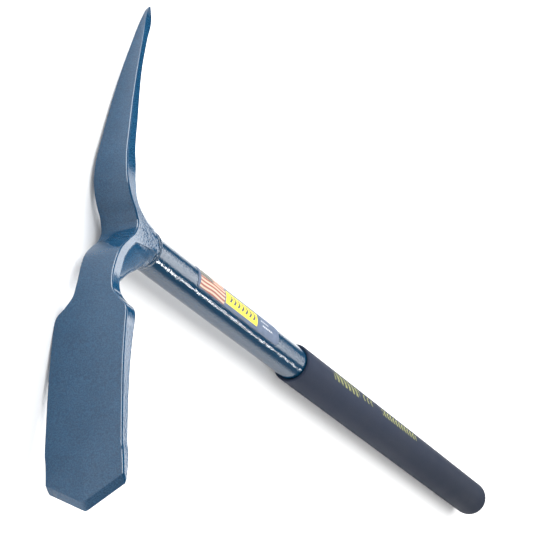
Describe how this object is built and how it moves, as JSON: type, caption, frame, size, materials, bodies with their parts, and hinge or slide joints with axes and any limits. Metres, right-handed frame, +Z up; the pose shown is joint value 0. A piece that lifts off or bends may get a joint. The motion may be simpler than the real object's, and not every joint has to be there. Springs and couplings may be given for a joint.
{
  "type": "prospecting pick",
  "caption": "Two-handed prospecting pick: forged steel head with a curved pick and a broad V-edged hoe, welded to a tubular steel handle with a long closed vinyl grip.",
  "frame": {"origin": "centre of the tool's footprint, on the table that it lies on", "axes": "+Z up from the table with the tool lying on its side; +X out of the head along the handle, whose grip ends at -X; the hoe points to +Y and the pick to -Y"},
  "size_m": [0.6346, 0.3723, 0.0625],
  "materials": {
    "forged_head_paint": "blue powder coat, satin with a fine hammered texture",
    "tube_paint": "blue powder coat, glossy with orange peel",
    "weld_paint": "blue powder coat over a rippled weld",
    "label_film": "printed satin film",
    "plug_plastic": "moulded black plastic",
    "grip_vinyl": "matt soft vinyl"
  },
  "bodies": {
    "root": {"head": "forged_head_paint", "handle_tube": "tube_paint", "weld_bead": "weld_paint", "label_film": "label_film", "end_plug": "plug_plastic", "grip_sleeve": "grip_vinyl"}
  },
  "joints": []
}
